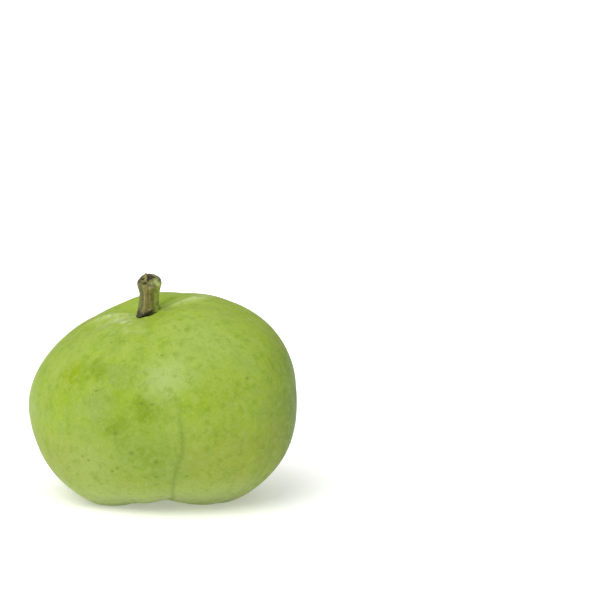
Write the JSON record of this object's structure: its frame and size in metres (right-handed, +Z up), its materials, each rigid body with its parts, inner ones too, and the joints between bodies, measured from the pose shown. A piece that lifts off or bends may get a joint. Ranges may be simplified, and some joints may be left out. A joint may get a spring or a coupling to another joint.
{
  "type": "apple gourd",
  "caption": "Whole apple gourd, a squat round green fruit with a ridged stub of its stem on top and a corky blossom scar in a dimple below; stands on its low lobes.",
  "frame": {"origin": "on the surface that the fruit rests on, below the middle of its width and depth", "axes": "+Z up, -Y the front that the picture shows, +X the fruit's right as seen from the front"},
  "size_m": [0.0698, 0.0686, 0.0593],
  "materials": {
    "skin": "satin",
    "stem": "matte",
    "scar": "matte"
  },
  "bodies": {
    "root": {"fruit": "skin", "stem": "stem", "blossom_scar": "scar"}
  },
  "joints": []
}
